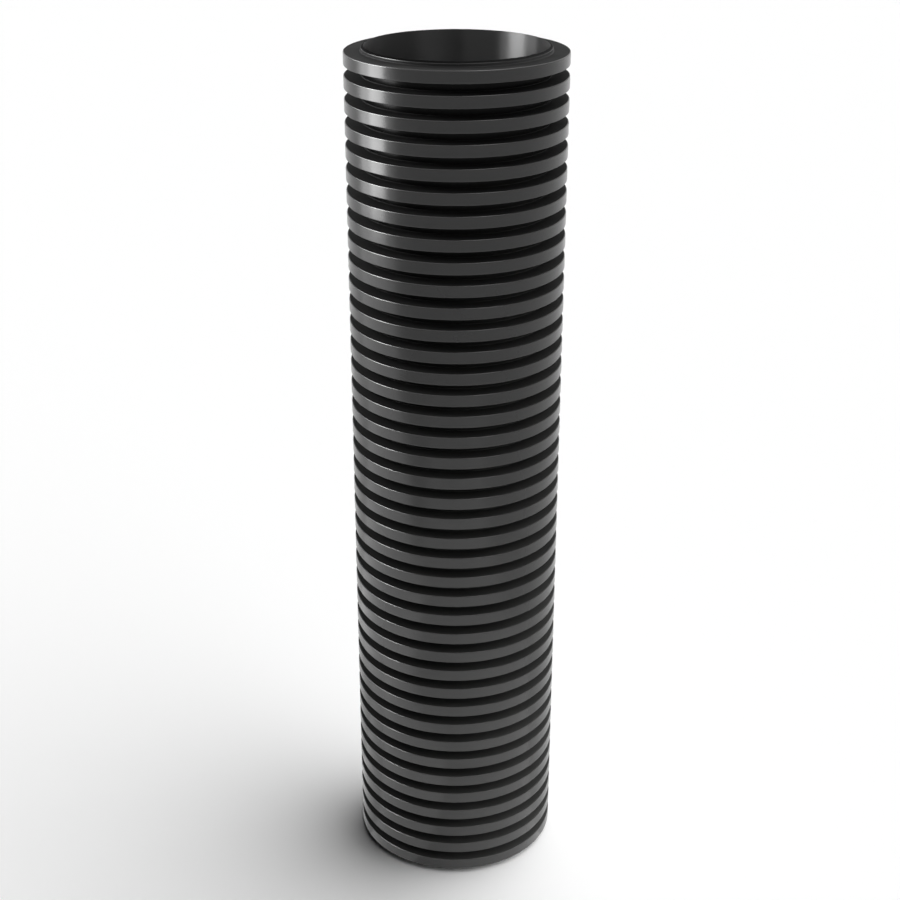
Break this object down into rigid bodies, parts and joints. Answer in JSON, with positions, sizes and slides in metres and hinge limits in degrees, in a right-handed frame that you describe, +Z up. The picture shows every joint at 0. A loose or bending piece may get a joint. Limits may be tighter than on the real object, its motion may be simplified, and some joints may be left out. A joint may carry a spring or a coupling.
{
  "type": "inspection chamber shaft",
  "caption": "Upright black plastic shaft pipe with square outer ribs and a smooth bore, which joins a buried drain chamber to its cover.",
  "frame": {"origin": "middle of the bottom end, on the pipe's axis", "axes": "+Z up along the pipe's axis; the part is round, so +X and +Y are alike"},
  "size_m": [0.488, 0.488, 2],
  "materials": {
    "shaft": "black polypropylene with a soft sheen, as extruded"
  },
  "bodies": {
    "root": {"shaft": "shaft"}
  },
  "joints": []
}
